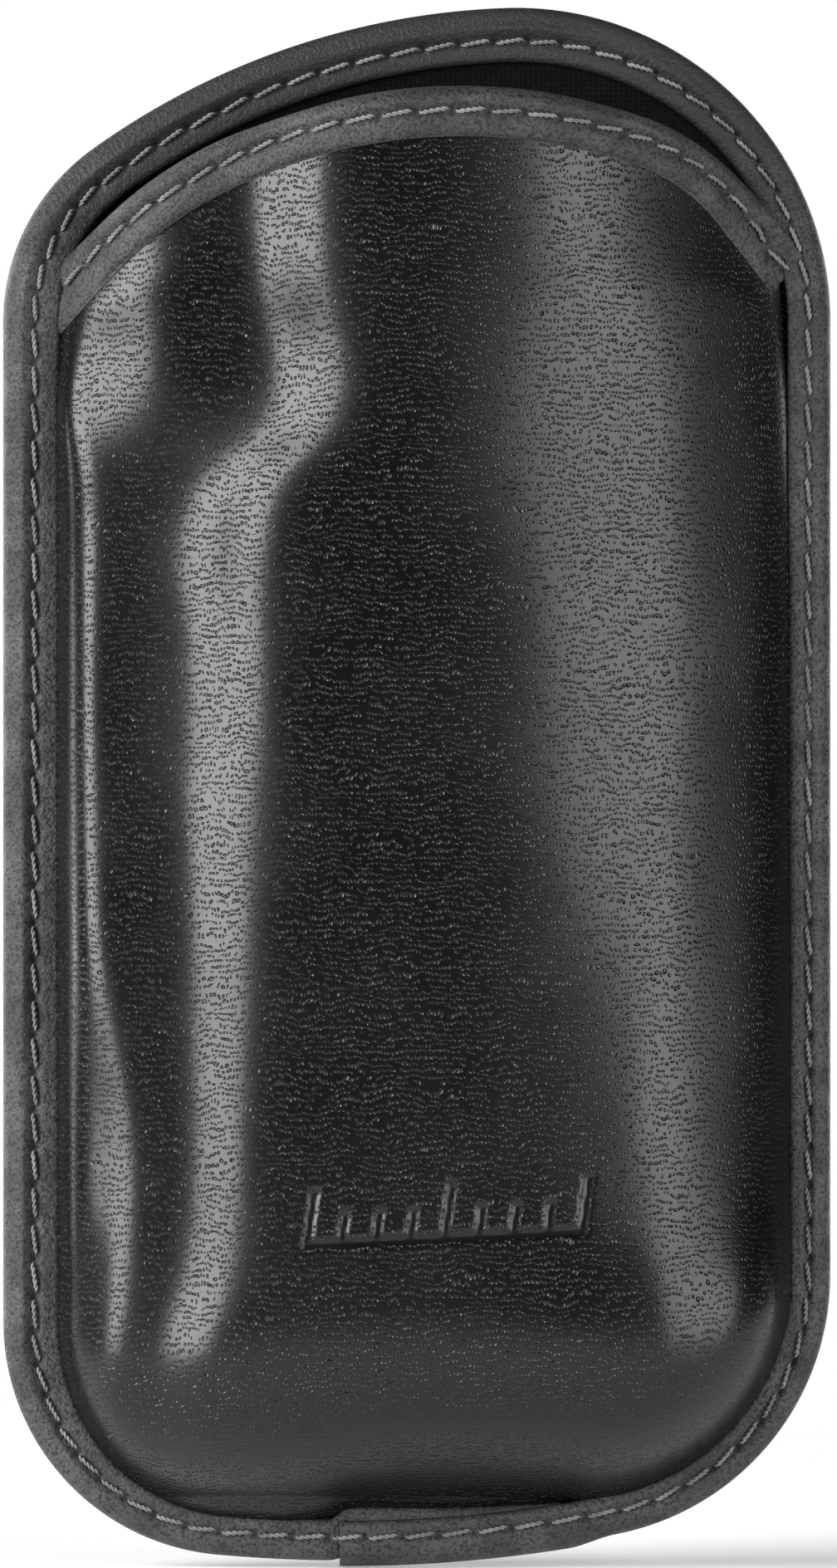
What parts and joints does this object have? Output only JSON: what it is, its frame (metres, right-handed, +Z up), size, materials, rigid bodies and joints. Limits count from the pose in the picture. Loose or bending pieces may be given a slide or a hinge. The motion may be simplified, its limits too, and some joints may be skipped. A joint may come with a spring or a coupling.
{
  "type": "light meter pouch",
  "caption": "Soft leatherette slip pouch for a handheld light meter, with an arched open mouth, stitched bindings and a belt loop on its back.",
  "frame": {"origin": "centre of the belt tunnel, between the back panel and the belt loop", "axes": "+Z up towards the mouth, the bulged front faces -Y, +X to the right of the front"},
  "size_m": [0.0996, 0.0332, 0.187],
  "materials": {
    "panel_leather": "glossy grained",
    "tape_leather": "matt grained",
    "lining_cloth": "matt woven",
    "foam": "matt foam",
    "thread": "satin twisted"
  },
  "bodies": {
    "root": {"front_panel": "panel_leather", "front_foam": "foam", "front_lining": "lining_cloth", "back_panel": "panel_leather", "back_foam": "foam", "back_lining": "lining_cloth", "edge_binding": "tape_leather", "mouth_binding": "tape_leather", "edge_front_thread": "thread", "edge_back_thread": "thread", "mouth_front_thread": "thread", "mouth_inner_thread": "thread", "belt_loop_strap": "panel_leather", "belt_loop_lining": "tape_leather", "belt_loop_upper_thread": "thread", "belt_loop_lower_thread": "thread"}
  },
  "joints": []
}
